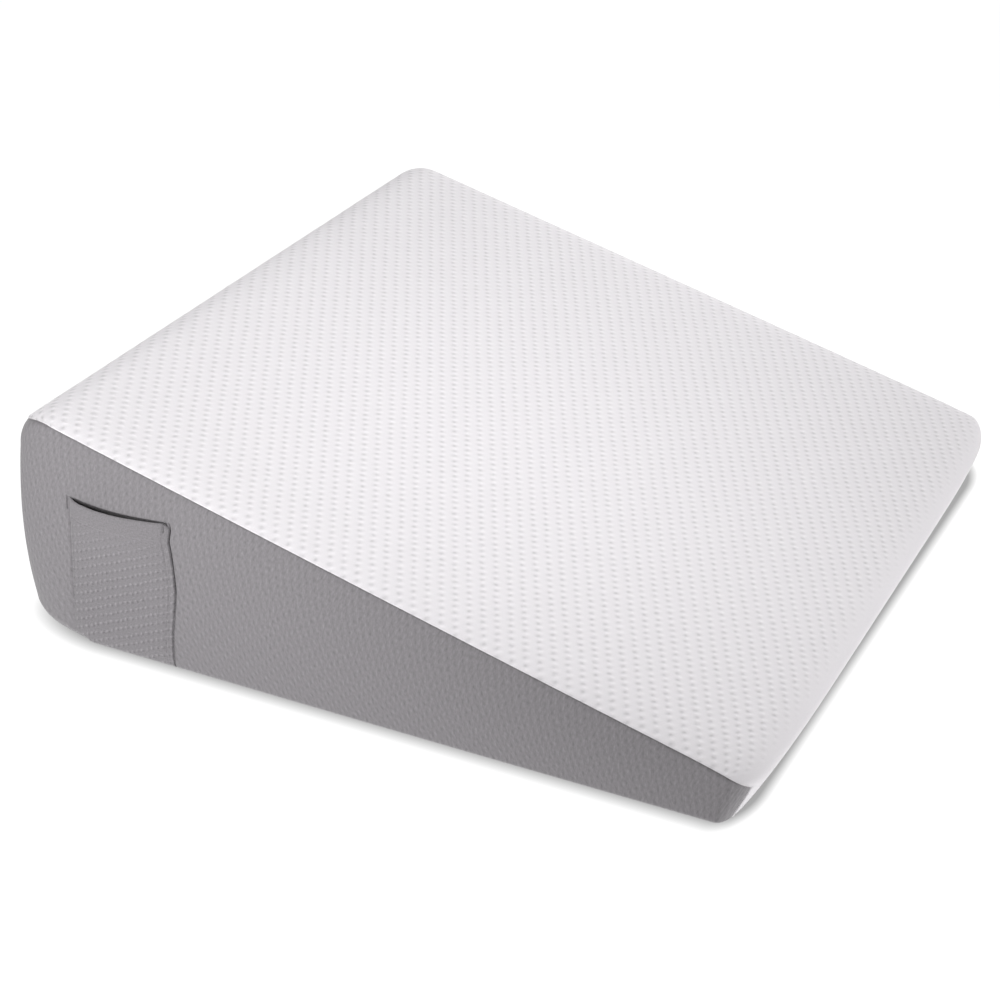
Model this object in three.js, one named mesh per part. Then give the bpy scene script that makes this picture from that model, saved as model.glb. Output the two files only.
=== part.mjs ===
// Firm wedge pillow in a fitted knit cover, lying on its base.
// A white panel covers the slope and wraps over the low front edge down to the base.
// The two sides, the tall back and the base are grey panels laid over the filled body,
// and a patch pocket is sewn to one side near the tall end, its mouth hanging open.
// Millimetres: x runs from the tall back to the low front edge, y across, z up from the base.
import * as THREE from 'three';

// Overall size of the filled body
const LENGTH = 561;
const WIDTH = 610;
const FRONT_EXTRA_WIDTH = 6;
const BACK_HEIGHT = 183; // where the slope's line would meet the back
const FRONT_HEIGHT = 43; // where the slope's line would meet the front

// Rounding of the upright corners, seen from above
const BACK_CORNER_AT_BASE = 33;
const BACK_CORNER_HALF_WAY = 18;
const BACK_CORNER_AT_TOP = 23;
const BACK_CORNER_STRETCH = 1.86; // its length along x for each millimetre across
const FRONT_CORNER_ALONG = 25;
const FRONT_CORNER_ACROSS = 38;

// Heights over which the slope and the base roll into the walls
const TOP_ROLL = { side: 6, back: 46, front: 14 };
const BASE_ROLL = { side: 10, back: 8, front: 4 };
const BACK_CORNER_LIFT = 16; // how far the base edge rises off the floor at the two back corners
const LIFT_EASE_ALONG = 0.4; // powers that spread the rise round the corner
const LIFT_EASE_ACROSS = 0.7;

// Soft bulges of the filled faces
const SLOPE_CROWN = 4;
const SIDE_CROWN = 3;
const BACK_CROWN = 4;
const SIDE_BOW = 1;

// The front edge is undercut: it sweeps back towards the floor
const FRONT_SWEEP = 22;
const FRONT_SWEEP_REACH = 57;
const FRONT_SWEEP_CURVE = 1.6;

// Where each seam lies on its rolled edge, as a slope of the surface's direction there
const SEAM_BACK = 3.2;
const SEAM_FRONT = 0.67;
const SEAM_TOP = 0.2;
const SEAM_TOP_AT_BACK = 2;
const SEAM_BASE = 0.7;
const SEAM_BASE_AT_FRONT = 1.4;

// Cloth of the grey panels
const CLOTH = 2.4;
const CLOTH_GAP = 0.8;
const SEAM_GAP = 0.6; // from a panel's edge to its seam line
const MOST_DRAWN_BACK = 0.8; // of the panel's first strip

// Patch pocket, its foot caught just above the base seam
const POCKET_LEFT = 49.5;
const POCKET_RIGHT = 133;
const POCKET_FOOT = 1.4; // above the side panel's lower edge
const POCKET_MOUTH = 122;
const POCKET_CLOTH = 2;
const POCKET_GAP = 0.8;
const POCKET_GAPE = 9;
const POCKET_GAPE_DEPTH = 70;
const POCKET_HEM = 14;
const POCKET_HEM_EXTRA = 0.8;
const POCKET_SIDE_BOW = 3;
const POCKET_FOLD_WIDTH = 6;
const POCKET_FOLD_LIFT = 2.2;
const POCKET_COLUMNS = 14;
const POCKET_FOOT_HEIGHT = 6; // of the stretch that follows the rolled base edge
const POCKET_ROWS = [
  ...steps(0, POCKET_FOOT_HEIGHT, 4),
  ...steps(POCKET_FOOT_HEIGHT, POCKET_MOUTH - POCKET_HEM, 9),
  ...steps(POCKET_MOUTH - POCKET_HEM, POCKET_MOUTH, 3),
  POCKET_MOUTH,
];

const WHITE_KNIT = { color: 0xecebee, roughness: 0.9, metalness: 0 };
const GREY_KNIT = { color: 0x98969b, roughness: 0.92, metalness: 0 };

// Rows of each axis: how far round the rolled ends they lie, and the steps between the ends
const X_ROWS = stations([1, 0.6, 0.35, 0.18, 0.08, 0.03], 8, [0.08, 0.22, 0.5, 1]);
const Y_ROWS = stations([1, 0.6, 0.35, 0.18, 0.07], 8, [0.07, 0.18, 0.35, 0.6, 1]);
const Z_ROWS = stations([1, 0.5, 0.18], 4, [0.5, 1]);

// A face of the body: the axis and end that it closes, and whether its rows run the other way
const FACES = {
  back: { rows: [Y_ROWS, Z_ROWS], place: (i, j) => [0, i, j], flip: true, white: false },
  front: { rows: [Y_ROWS, Z_ROWS], place: (i, j) => [X_ROWS.length - 1, i, j], flip: false, white: true },
  near: { rows: [X_ROWS, Z_ROWS], place: (i, j) => [i, 0, j], flip: false, white: false },
  far: { rows: [X_ROWS, Z_ROWS], place: (i, j) => [i, Y_ROWS.length - 1, j], flip: true, white: false },
  base: { rows: [X_ROWS, Y_ROWS], place: (i, j) => [i, j, 0], flip: true, white: false },
  top: { rows: [X_ROWS, Y_ROWS], place: (i, j) => [i, j, Z_ROWS.length - 1], flip: false, white: true },
};

function stations(startTurns, flatSteps, endTurns) {
  const start = startTurns.map((turn) => ({ along: 0, turn: -turn }));
  const flat = Array.from({ length: flatSteps + 1 }, (_, i) => ({ along: i / flatSteps, turn: 0 }));
  const end = endTurns.map((turn) => ({ along: 1, turn }));
  return [...start, ...flat, ...end];
}

// Evenly spaced values from one end up to, and without, the other
function steps(from, to, count) {
  return Array.from({ length: count }, (_, i) => mix(from, to, i / count));
}

function mix(a, b, t) {
  return a + (b - a) * t;
}

// 0 at both ends and 1 half way
function arch(t) {
  return 1 - (2 * t - 1) ** 2;
}

function smooth(t) {
  const c = THREE.MathUtils.clamp(t, 0, 1);
  return c * c * (3 - 2 * c);
}

function slopeHeight(x) {
  return mix(BACK_HEIGHT, FRONT_HEIGHT, x / LENGTH);
}

function halfWidth(x) {
  return WIDTH / 2 + FRONT_EXTRA_WIDTH * (x / LENGTH - 0.5);
}

// Rounding of the back corners across the width, at a share of the height
function backCorner(up) {
  const base = BACK_CORNER_AT_BASE * (1 - up) * (1 - 2 * up);
  const middle = BACK_CORNER_HALF_WAY * arch(up);
  const top = BACK_CORNER_AT_TOP * up * (2 * up - 1);
  return base + middle + top;
}

// Way that the body's surface looks at a row of each axis
function direction(x, y, z) {
  const towardsBack = Math.max(-x.turn, 0);
  const towardsFront = Math.max(x.turn, 0);
  const topSeam = mix(SEAM_TOP, SEAM_TOP_AT_BACK, towardsBack);
  const baseSeam = mix(SEAM_BASE, SEAM_BASE_AT_FRONT, towardsFront);
  return new THREE.Vector3(
    x.turn * (x.turn < 0 ? SEAM_BACK : SEAM_FRONT),
    y.turn,
    z.turn * (z.turn > 0 ? topSeam : baseSeam),
  ).normalize();
}

// The two heights over which the surface rolls at a point, above and below
function rolls(x, y, n) {
  const along = n.x * n.x;
  const across = n.y * n.y;
  if (along + across < Number.EPSILON) {
    return { above: TOP_ROLL.side, below: BASE_ROLL.side };
  }
  const share = along / (along + across);
  const end = x.turn < 0 ? 'back' : 'front';
  const nearCorner = Math.max(-x.turn, 0) ** LIFT_EASE_ALONG * Math.abs(y.turn) ** LIFT_EASE_ACROSS;
  return {
    above: mix(TOP_ROLL.side, TOP_ROLL[end], share),
    below: mix(BASE_ROLL.side, BASE_ROLL[end], share) + BACK_CORNER_LIFT * nearCorner,
  };
}

// Point of the pillow's surface at a row of each axis, or that far beneath it
function surfacePoint([i, j, k], depth = 0) {
  const [x, y, z] = [X_ROWS[i], Y_ROWS[j], Z_ROWS[k]];
  const n = direction(x, y, z);
  const corner = backCorner(z.along);
  const alongCorner = corner * BACK_CORNER_STRETCH;
  const px = mix(alongCorner, LENGTH - FRONT_CORNER_ALONG, x.along)
    + n.x * (x.turn < 0 ? alongCorner : FRONT_CORNER_ALONG);
  const acrossCorner = mix(corner, FRONT_CORNER_ACROSS, x.along);
  const py = (halfWidth(px) - acrossCorner) * (2 * y.along - 1) + n.y * acrossCorner;
  const roll = rolls(x, y, n);
  const wall = slopeHeight(px) - roll.above - roll.below;
  const pz = roll.below + wall * z.along + n.z * (n.z > 0 ? roll.above : roll.below);
  return bulged(new THREE.Vector3(px, py, pz), n, x, y, z).addScaledVector(n, -depth);
}

// Adds the crowns of the slope, sides and back, and the undercut of the front edge
function bulged(p, n, x, y, z) {
  const side = SIDE_CROWN * arch(z.along) + SIDE_BOW;
  p.z += SLOPE_CROWN * Math.max(n.z, 0) * Math.sqrt(arch(x.along)) * arch(y.along);
  p.y += side * n.y * arch(x.along);
  p.x += BACK_CROWN * Math.min(n.x, 0) * arch(z.along) * arch(y.along);
  const drop = THREE.MathUtils.clamp(1 - p.z / FRONT_HEIGHT, 0, 1);
  const reach = THREE.MathUtils.clamp(1 - (LENGTH - p.x) / FRONT_SWEEP_REACH, 0, 1);
  p.x -= FRONT_SWEEP * drop ** FRONT_SWEEP_CURVE * reach ** 2;
  return p;
}

// Gathers shared corners and four-sided faces into one closed geometry
class QuadShell {
  constructor() {
    this.positions = [];
    this.triangles = [];
    this.found = new Map();
  }

  corner(name, point) {
    if (!this.found.has(name)) {
      this.found.set(name, this.positions.length / 3);
      this.positions.push(point.x, point.y, point.z);
    }
    return this.found.get(name);
  }

  quad([a, b, c, d]) {
    this.triangles.push(a, b, c, a, c, d);
  }

  geometry() {
    const geometry = new THREE.BufferGeometry();
    geometry.setAttribute('position', new THREE.Float32BufferAttribute(this.positions, 3));
    geometry.setIndex(this.triangles);
    geometry.computeVertexNormals();
    return geometry;
  }
}

// The same four corners the other way round, still cut in two along the same diagonal
function turned([a, b, c, d]) {
  return [a, d, c, b];
}

// Corners of one cell of a face's grid, anticlockwise seen from outside
function cell(i, j, flip) {
  const corners = [[i, j], [i + 1, j], [i + 1, j + 1], [i, j + 1]];
  return flip ? turned(corners) : corners;
}

function onWhiteEdge(a, b) {
  const front = X_ROWS.length - 1;
  const top = Z_ROWS.length - 1;
  return (a[0] === front && b[0] === front) || (a[2] === top && b[2] === top);
}

// The filled body: its white faces are at full size, and the rest is sunk by the grey cloth
function bodyGeometry() {
  const shell = new QuadShell();
  const corner = (place, depth) => shell.corner(`${place} ${depth}`, surfacePoint(place, depth));
  const sunk = CLOTH + CLOTH_GAP;
  for (const face of Object.values(FACES)) {
    const [rows, columns] = face.rows;
    for (let i = 0; i < rows.length - 1; i += 1) {
      for (let j = 0; j < columns.length - 1; j += 1) {
        const places = cell(i, j, face.flip).map(([a, b]) => face.place(a, b));
        shell.quad(places.map((place) => corner(place, face.white ? 0 : sunk)));
        places.forEach((a, index) => {
          const b = places[(index + 1) % places.length];
          if (!face.white && onWhiteEdge(a, b)) {
            shell.quad([corner(b, sunk), corner(a, sunk), corner(a, 0), corner(b, 0)]);
          }
        });
      }
    }
  }
  return shell.geometry();
}

// A closed sheet between an outer and an inner grid of points
function sheetGeometry(rows, columns, flip, outer, inner) {
  const shell = new QuadShell();
  const corner = (i, j, layer) => shell.corner(`${i} ${j} ${layer}`, (layer ? inner : outer)(i, j));
  for (let i = 0; i < rows; i += 1) {
    for (let j = 0; j < columns; j += 1) {
      const corners = cell(i, j, flip);
      shell.quad(corners.map(([a, b]) => corner(a, b, 0)));
      shell.quad(turned(corners.map(([a, b]) => corner(a, b, 1))));
      corners.forEach(([a, b], index) => {
        const [c, d] = corners[(index + 1) % corners.length];
        const rim = (a === c && (a === 0 || a === rows)) || (b === d && (b === 0 || b === columns));
        if (rim) {
          shell.quad([corner(c, d, 0), corner(a, b, 0), corner(a, b, 1), corner(c, d, 1)]);
        }
      });
    }
  }
  return shell.geometry();
}

// Share of the first cell by which a panel's edge is drawn back from its seam line
function drawnBack(from, to) {
  return Math.min(SEAM_GAP / from.distanceTo(to), MOST_DRAWN_BACK);
}

function panelGeometry(face) {
  const rows = face.rows[0].length - 1;
  const columns = face.rows[1].length - 1;
  const at = (i, j, depth) => surfacePoint(face.place(i, j), depth);
  const layer = (depth) => (i, j) => {
    const ni = THREE.MathUtils.clamp(i, 1, rows - 1);
    const nj = THREE.MathUtils.clamp(j, 1, columns - 1);
    const alongShare = ni === i ? 0 : drawnBack(at(i, j, 0), at(ni, j, 0));
    const upShare = nj === j ? 0 : drawnBack(at(i, j, 0), at(i, nj, 0));
    const edge = at(i, j, depth).lerp(at(ni, j, depth), alongShare);
    const inside = at(i, nj, depth).lerp(at(ni, nj, depth), alongShare);
    return edge.lerp(inside, upShare);
  };
  return sheetGeometry(rows, columns, face.flip, layer(0), layer(CLOTH));
}

// Height of the near side's base seam at a place along it
function baseSeamHeight(x) {
  const seam = X_ROWS.map((row, i) => surfacePoint([i, 0, 0]));
  const next = seam.findIndex((point) => point.x > x);
  const [a, b] = [seam[next - 1], seam[next]];
  return mix(a.z, b.z, (x - a.x) / (b.x - a.x));
}

// Point of the near side panel's outer face at a place along it and up it
function onNearPanel(panel, x, z) {
  const across = new THREE.Vector3(0, 1, 0);
  const ray = new THREE.Raycaster(new THREE.Vector3(x, -WIDTH, z), across);
  return ray.intersectObject(panel)[0].point;
}

// The pocket's side away from the back bows out below the hem
function pocketRight(level) {
  const belowHem = Math.min(level / (POCKET_MOUTH - POCKET_HEM), 1);
  return POCKET_RIGHT + POCKET_SIDE_BOW * arch(belowHem);
}

// How far the pocket's inner face stands off the panel
function pocketStandOff(across, z) {
  const mouth = smooth(1 - (POCKET_MOUTH - z) / POCKET_GAPE_DEPTH);
  const belly = Math.sin(Math.PI * across);
  const width = POCKET_RIGHT - POCKET_LEFT;
  const fold = smooth(1 - ((1 - across) * width) / POCKET_FOLD_WIDTH);
  return POCKET_GAP + POCKET_GAPE * mouth * belly + POCKET_FOLD_LIFT * fold;
}

// Point of the pocket at a share of its width and a level above its foot
function pocketPoint(panel, across, level, outside) {
  const x = mix(POCKET_LEFT, pocketRight(level), across);
  const z = mix(baseSeamHeight(x) + POCKET_FOOT, POCKET_MOUTH, level / POCKET_MOUTH);
  const hem = level > POCKET_MOUTH - POCKET_HEM ? POCKET_HEM_EXTRA : 0;
  const thickness = outside ? POCKET_CLOTH + hem : 0;
  const point = onNearPanel(panel, x, z);
  point.y -= pocketStandOff(across, z) + thickness;
  return point;
}

function pocketGeometry(panel, origin) {
  const layer = (outside) => (i, j) =>
    pocketPoint(panel, i / POCKET_COLUMNS, POCKET_ROWS[j], outside).sub(origin);
  return sheetGeometry(POCKET_COLUMNS, POCKET_ROWS.length - 1, false, layer(true), layer(false));
}

function named(name, geometry, finish) {
  const mesh = new THREE.Mesh(geometry, new THREE.MeshStandardMaterial(finish));
  mesh.name = name;
  return mesh;
}

function pocket(panel) {
  const corner = pocketPoint(panel, 0, 0, false);
  const mesh = named('pocket', pocketGeometry(panel, corner), GREY_KNIT);
  mesh.position.copy(corner);
  return mesh;
}

function wedgePillow() {
  const pillow = new THREE.Group();
  const nearPanel = named('side_panel_pocket', panelGeometry(FACES.near), GREY_KNIT);
  pillow.add(
    named('filled_body', bodyGeometry(), WHITE_KNIT),
    nearPanel,
    named('side_panel_plain', panelGeometry(FACES.far), GREY_KNIT),
    named('back_panel', panelGeometry(FACES.back), GREY_KNIT),
    named('base_panel', panelGeometry(FACES.base), GREY_KNIT),
    pocket(nearPanel),
  );
  return pillow;
}

// The whole pillow stands with the middle of its outline over the origin
function centred(object) {
  object.updateMatrixWorld(true);
  const box = new THREE.Box3().setFromObject(object);
  const middle = box.getCenter(new THREE.Vector3());
  object.position.set(-middle.x, -middle.y, -box.min.z);
  return object;
}

export default centred(wedgePillow());
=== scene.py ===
"""Looks of a firm wedge pillow in a fitted knit cover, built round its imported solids.

The pillow lies on its base. Its slope and low front edge are white knit, its other faces are grey
knit panels, and a patch pocket hangs open on the side near the tall end. Lengths are in metres in
the frame's own axes: +X towards the low front edge, -Y the side with the pocket, +Z up.
"""

import logging
import math
from dataclasses import dataclass, field
from enum import Enum

import bpy
import numpy as np
from mathutils import Matrix, Vector
from mathutils.bvhtree import BVHTree


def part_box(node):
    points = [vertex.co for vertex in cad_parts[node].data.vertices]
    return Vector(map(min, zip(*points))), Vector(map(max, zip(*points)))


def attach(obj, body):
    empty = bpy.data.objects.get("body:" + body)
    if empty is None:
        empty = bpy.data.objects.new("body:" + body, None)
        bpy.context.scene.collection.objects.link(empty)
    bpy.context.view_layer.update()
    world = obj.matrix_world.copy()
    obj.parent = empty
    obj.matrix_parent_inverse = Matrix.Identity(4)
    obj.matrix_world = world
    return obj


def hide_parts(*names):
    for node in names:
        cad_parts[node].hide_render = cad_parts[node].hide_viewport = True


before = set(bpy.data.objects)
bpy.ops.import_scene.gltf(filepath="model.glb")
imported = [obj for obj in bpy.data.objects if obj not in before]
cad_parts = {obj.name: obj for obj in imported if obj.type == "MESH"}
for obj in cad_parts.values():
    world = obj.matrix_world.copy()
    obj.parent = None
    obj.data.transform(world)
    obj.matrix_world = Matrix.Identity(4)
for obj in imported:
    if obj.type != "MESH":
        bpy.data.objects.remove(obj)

MM = 0.001
LOG = logging.getLogger("wedge_pillow")
BODY = "root"

# Points closer than this are one point.
WELD = 0.01 * MM

# How far both faces of the folded hem close in on its middle, 1 for all the way.
RIM_CLOSING = 0.96

# From the pocket's side into the pillow.
INWARDS = Vector((0.0, 1.0, 0.0))

# Each edge of a grid: its slice, the axis across it, and whether its strip turns the other way.
EDGES = {
    "first_low": (np.s_[:1], 0, False),
    "first_high": (np.s_[-1:], 0, True),
    "second_low": (np.s_[:, :1], 1, True),
    "second_high": (np.s_[:, -1:], 1, False),
}

# Sharpness of the rows round each rolled end: small for a tight roll, large for even steps.
BACK_ROWS = (0.07, 0.3, 9.0)
FRONT_ROWS = (0.23, 9.0)
SIDE_ROWS = (0.2, 9.0)
LEVEL_ROWS = (9.0,)

# Blender's noise lies mostly between the first two values and nearly all between the second two.
NOISE_BODY = (0.3, 0.7)
NOISE_RANGE = (0.2, 0.8)


class Face(Enum):
    """The six faces of the wedge, each with the axis that it closes and the end that it lies at."""

    BACK = (0, -1)
    FRONT = (0, 1)
    NEAR = (1, -1)
    FAR = (1, 1)
    BASE = (2, -1)
    TOP = (2, 1)

    @property
    def axis(self) -> int:
        """Axis that the face closes."""
        return self.value[0]

    @property
    def end(self) -> int:
        """End of the axis, -1 or 1."""
        return self.value[1]

    @property
    def others(self) -> tuple[int, int]:
        """The two axes that the face's rows run along."""
        first, second = (axis for axis in range(3) if axis != self.axis)
        return first, second


def linear(colour: str) -> tuple[float, float, float, float]:
    """Turns an sRGB hex colour to linear light.

    Args:
        colour: Six hex digits after a hash.

    Returns:
        Red, green, blue and an alpha of 1.
    """
    parts = [int(colour[place : place + 2], 16) / 255 for place in (1, 3, 5)]
    red, green, blue = (c / 12.92 if c <= 0.04045 else ((c + 0.055) / 1.055) ** 2.4 for c in parts)
    return red, green, blue, 1.0


def arch(share: np.ndarray) -> np.ndarray:
    """0 at both ends of a share and 1 half way."""
    return 1 - (2 * share - 1) ** 2


def smooth(share: np.ndarray) -> np.ndarray:
    """Eases a share from 0 to 1."""
    held = np.clip(share, 0, 1)
    return held * held * (3 - 2 * held)


def mix(a: np.ndarray, b: np.ndarray, share: np.ndarray) -> np.ndarray:
    """The value a share of the way from a to b."""
    return a + (b - a) * share


def hump(distance: np.ndarray, reach: float) -> np.ndarray:
    """A bell of height 1 that is a third of its height at its reach."""
    return np.exp(-((distance / reach) ** 2))


def quarter(share: np.ndarray) -> np.ndarray:
    """Rises from 0 to 1 like a quarter of a circle."""
    return np.sqrt(np.clip(1 - (1 - np.clip(share, 0, 1)) ** 2, 0, 1))


def bands(*spans: tuple[float, float, int]) -> np.ndarray:
    """Places in bands that run on from each other, each with its own number of lines."""
    return np.concatenate([*(np.linspace(*span)[:-1] for span in spans), [spans[-1][1]]])


def grid_quads(rows: int, columns: int) -> np.ndarray:
    """The quads of a grid of points, by the points' numbers."""
    index = np.arange(rows * columns).reshape(rows, columns)
    corners = [index[:-1, :-1], index[1:, :-1], index[1:, 1:], index[:-1, 1:]]
    return np.stack(corners, -1).reshape(-1, 4)


def add_object(name: str, data: bpy.types.ID) -> bpy.types.Object:
    """Makes an object and links it to the scene."""
    made = bpy.data.objects.new(name, data)
    bpy.context.scene.collection.objects.link(made)
    return made


@dataclass(frozen=True)
class Rows:
    """Rows of grid lines across one axis of the wedge.

    Attributes:
        along: Share of the way between the rolled ends.
        turn: How far round the rolled end, from 0 to 1, negative at the low end.
    """

    along: np.ndarray
    turn: np.ndarray

    @staticmethod
    def spaced(start: tuple[float, ...], flat: np.ndarray, end: tuple[float, ...]) -> "Rows":
        """Rows round both rolled ends and between them.

        Args:
            start: Sharpness of each set of rows round the low end.
            flat: Shares of the way between the ends.
            end: Sharpness of each set of rows round the high end.

        Returns:
            The rows in order.
        """
        first, last = -Rows.round_end(start)[::-1], Rows.round_end(end)
        along = np.concatenate([np.zeros(len(first)), flat, np.ones(len(last))])
        turn = np.concatenate([first, np.zeros(len(flat)), last])
        return Rows(along, turn)

    @staticmethod
    def round_end(sharpness: tuple[float, ...], count: int = 9) -> np.ndarray:
        """Turns of the rows round an end, evenly spaced for each sharpness that a face gives it."""
        turns = [s * np.tan(np.linspace(0, math.atan(1 / s), count + 1)[1:]) for s in sharpness]
        return np.unique(np.round(np.concatenate(turns), 3))

    def closing(self, end: int) -> tuple[float, float]:
        """The last row at an end of the axis, as its along and turn."""
        return (0.0, -1.0) if end < 0 else (1.0, 1.0)


@dataclass(frozen=True)
class Grid:
    """A face of the wedge: a grid of points, the way each looks and its place on the cloth."""

    points: np.ndarray
    outward: np.ndarray
    cloth: np.ndarray
    seam_distance: np.ndarray


@dataclass
class WedgeForm:
    """The firm form under the cloth: a wedge with crowned faces and rolled edges.

    Attributes:
        length: From the tall end to the front edge.
        width: Across the wedge, half way along.
        front_extra_width: How much wider the front edge is than the tall end.
        back_height: Height of the slope's line at the tall end.
        front_height: Height of the slope's line at the front edge.
        back_corner: Rounding of the back corners at the base, half way up and at the top.
        back_corner_stretch: How much longer that rounding is along the wedge than across it.
        front_corner: Rounding of the front corners, along and across.
        top_roll: Height of the roll into the slope at the sides, the tall end and the front.
        base_roll: Height of the roll into the base at the same places.
        corner_lift: How much higher the base is drawn in at the back corners.
        lift_ease: How sharply that lift fades, from the tall end and from the side.
        slope_crown: Rise of the slope's middle.
        side_crown: Bulge of the sides half way up.
        back_crown: Bulge of the tall end half way up.
        side_bow: Bulge of the sides over their whole height.
        front_sweep: Undercut of the front edge at the base.
        front_sweep_reach: How far back the undercut and the bow reach.
        front_sweep_curve: How late the undercut grows towards the base.
        front_bow: How far the front edge falls back at its corners.
        front_bow_power: How close to the corners that is.
        seam_back: How far back a side's seam lies round a back corner.
        seam_front: How far forward a side's seam lies round a front corner.
        seam_front_drop: How much less the slope's seam turns up at the front corners.
        seam_top: How far up the slope's seam lies, at the sides and at the tall end.
        seam_base: How far down the base seam lies, at the sides and at the front.
        rows: Grid rows along, across and up.
    """

    length: float = 562.7 * MM
    width: float = 610 * MM
    front_extra_width: float = 6 * MM
    back_height: float = 183 * MM
    front_height: float = 43 * MM
    back_corner: tuple[float, float, float] = (33.5 * MM, 18.5 * MM, 20 * MM)
    back_corner_stretch: float = 1.86
    front_corner: tuple[float, float] = (23.5 * MM, 39.5 * MM)
    top_roll: tuple[float, float, float] = (6 * MM, 46 * MM, 16.3 * MM)
    base_roll: tuple[float, float, float] = (10 * MM, 8 * MM, 4 * MM)
    corner_lift: float = 16 * MM
    lift_ease: tuple[float, float] = (0.4, 1.2)
    slope_crown: float = 4 * MM
    side_crown: float = 3 * MM
    back_crown: float = 4 * MM
    side_bow: float = 1 * MM
    front_sweep: float = 19.2 * MM
    front_sweep_reach: float = 57 * MM
    front_sweep_curve: float = 1.26
    front_bow: float = 7.75 * MM
    front_bow_power: float = 5.8
    seam_back: float = 2.5
    seam_front: float = 1.37
    seam_front_drop: float = 0.86
    seam_top: tuple[float, float] = (0.2, 2.0)
    seam_base: tuple[float, float] = (0.7, 1.4)
    rows: tuple[Rows, Rows, Rows] = field(
        default_factory=lambda: (
            Rows.spaced(BACK_ROWS, np.linspace(0, 1, 91), FRONT_ROWS),
            Rows.spaced(SIDE_ROWS, np.linspace(0, 1, 101), SIDE_ROWS),
            Rows.spaced(LEVEL_ROWS, np.linspace(0, 1, 25), LEVEL_ROWS),
        )
    )

    def __post_init__(self) -> None:
        """Finds where the form's own corner lies in the frame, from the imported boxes."""
        low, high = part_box("filled_body")
        back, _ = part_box("back_panel")
        self.origin = np.array([back.x + self.back_crown, (low.y + high.y) / 2, 0.0])

    def slope_height(self, x: np.ndarray) -> np.ndarray:
        """Height of the slope's line at a place along the wedge."""
        return mix(self.back_height, self.front_height, x / self.length)

    def half_width(self, x: np.ndarray) -> np.ndarray:
        """Half the width at a place along the wedge."""
        return self.width / 2 + self.front_extra_width * (x / self.length - 0.5)

    def corner(self, up: np.ndarray) -> np.ndarray:
        """Rounding of the back corners across the width at a share of the height."""
        base, middle, top = self.back_corner
        return base * (1 - up) * (1 - 2 * up) + middle * arch(up) + top * up * (2 * up - 1)

    def direction(self, turns: tuple[np.ndarray, np.ndarray, np.ndarray]) -> np.ndarray:
        """The way that the surface looks where it is turned so far round each axis's end."""
        along, across, up = turns
        rounded = (along > 0) & (up > 0)
        along, up = (
            np.where(rounded, along * np.sqrt(1 - up**2 / 2), along),
            np.where(rounded, up * np.sqrt(1 - along**2 / 2), up),
        )
        to_back, to_front = np.clip(-along, 0, 1), np.clip(along, 0, 1)
        top = mix(*self.seam_top, to_back) * (1 - self.seam_front_drop * to_front)
        base = mix(*self.seam_base, to_front)
        forward = along * np.where(along < 0, self.seam_back, self.seam_front)
        way = np.stack([forward, across, up * np.where(up > 0, top, base)], -1)
        return way / np.linalg.norm(way, axis=-1, keepdims=True)

    def rolls(
        self, turns: tuple[np.ndarray, ...], way: np.ndarray
    ) -> tuple[np.ndarray, np.ndarray]:
        """Heights over which the surface rolls at a place, above and below."""
        along, across = way[..., 0] ** 2, way[..., 1] ** 2
        share = along / np.maximum(along + across, np.finfo(float).tiny)
        above, below = (
            mix(side, np.where(turns[0] < 0, back, front), share)
            for side, back, front in (self.top_roll, self.base_roll)
        )
        from_end, from_side = self.lift_ease
        near = np.clip(-turns[0], 0, 1) ** from_end * np.abs(turns[1]) ** from_side
        return above, below + self.corner_lift * near

    def surface(
        self, along: tuple[np.ndarray, ...], turns: tuple[np.ndarray, ...]
    ) -> tuple[np.ndarray, np.ndarray]:
        """Points of the form's surface in the frame, and the way that each looks.

        Args:
            along: Share of the way along each axis.
            turns: Turn round each axis's rolled ends.

        Returns:
            The points and their outward directions.
        """
        way = self.direction(turns)
        back = turns[0] < 0
        corner = self.corner(along[2])
        along_corner = corner * self.back_corner_stretch
        x = mix(along_corner, self.length - self.front_corner[0], along[0])
        x = x + way[..., 0] * np.where(back, along_corner, self.front_corner[0])
        across_corner = mix(corner, self.front_corner[1], along[0])
        y = (self.half_width(x) - across_corner) * (2 * along[1] - 1) + way[..., 1] * across_corner
        above, below = self.rolls(turns, way)
        wall = self.slope_height(x) - above - below
        z = below + wall * along[2] + way[..., 2] * np.where(way[..., 2] > 0, above, below)
        down_slope, across, up = (arch(share) for share in along)
        z = z + self.slope_crown * np.clip(way[..., 2], 0, 1) * np.sqrt(down_slope) * across
        y = y + (self.side_crown * up + self.side_bow) * way[..., 1] * down_slope
        x = x + self.back_crown * np.clip(way[..., 0], -1, 0) * up * across
        drop = np.clip(1 - z / self.front_height, 0, 1)
        reach = np.clip(1 - (self.length - x) / self.front_sweep_reach, 0, 1)
        bow = self.front_bow * np.abs(y / self.half_width(x)) ** self.front_bow_power
        x = x - (self.front_sweep * drop**self.front_sweep_curve + bow) * reach**2
        return np.stack([x, y, z], -1) + self.origin, way

    def grid(self, face: Face, rows: tuple[Rows, Rows, Rows] | None = None) -> Grid:
        """Grid of points over one face.

        Args:
            face: The face.
            rows: Rows along each axis, or None for the form's own.

        Returns:
            The points, each with its place on the cloth and its distance from a seam.
        """
        rows = rows or self.rows
        first, second = face.others
        shape = (len(rows[first].along), len(rows[second].along))
        closed = rows[face.axis].closing(face.end)
        along, turns = ([np.full(shape, part)] * 3 for part in closed)
        for axis, line in ((first, np.s_[:, None]), (second, np.s_[None, :])):
            along[axis] = np.broadcast_to(rows[axis].along[line], shape)
            turns[axis] = np.broadcast_to(rows[axis].turn[line], shape)
        points, outward = self.surface(tuple(along), tuple(turns))
        return Grid(points, outward, cloth_places(points, face), seam_distance(points))


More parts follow.
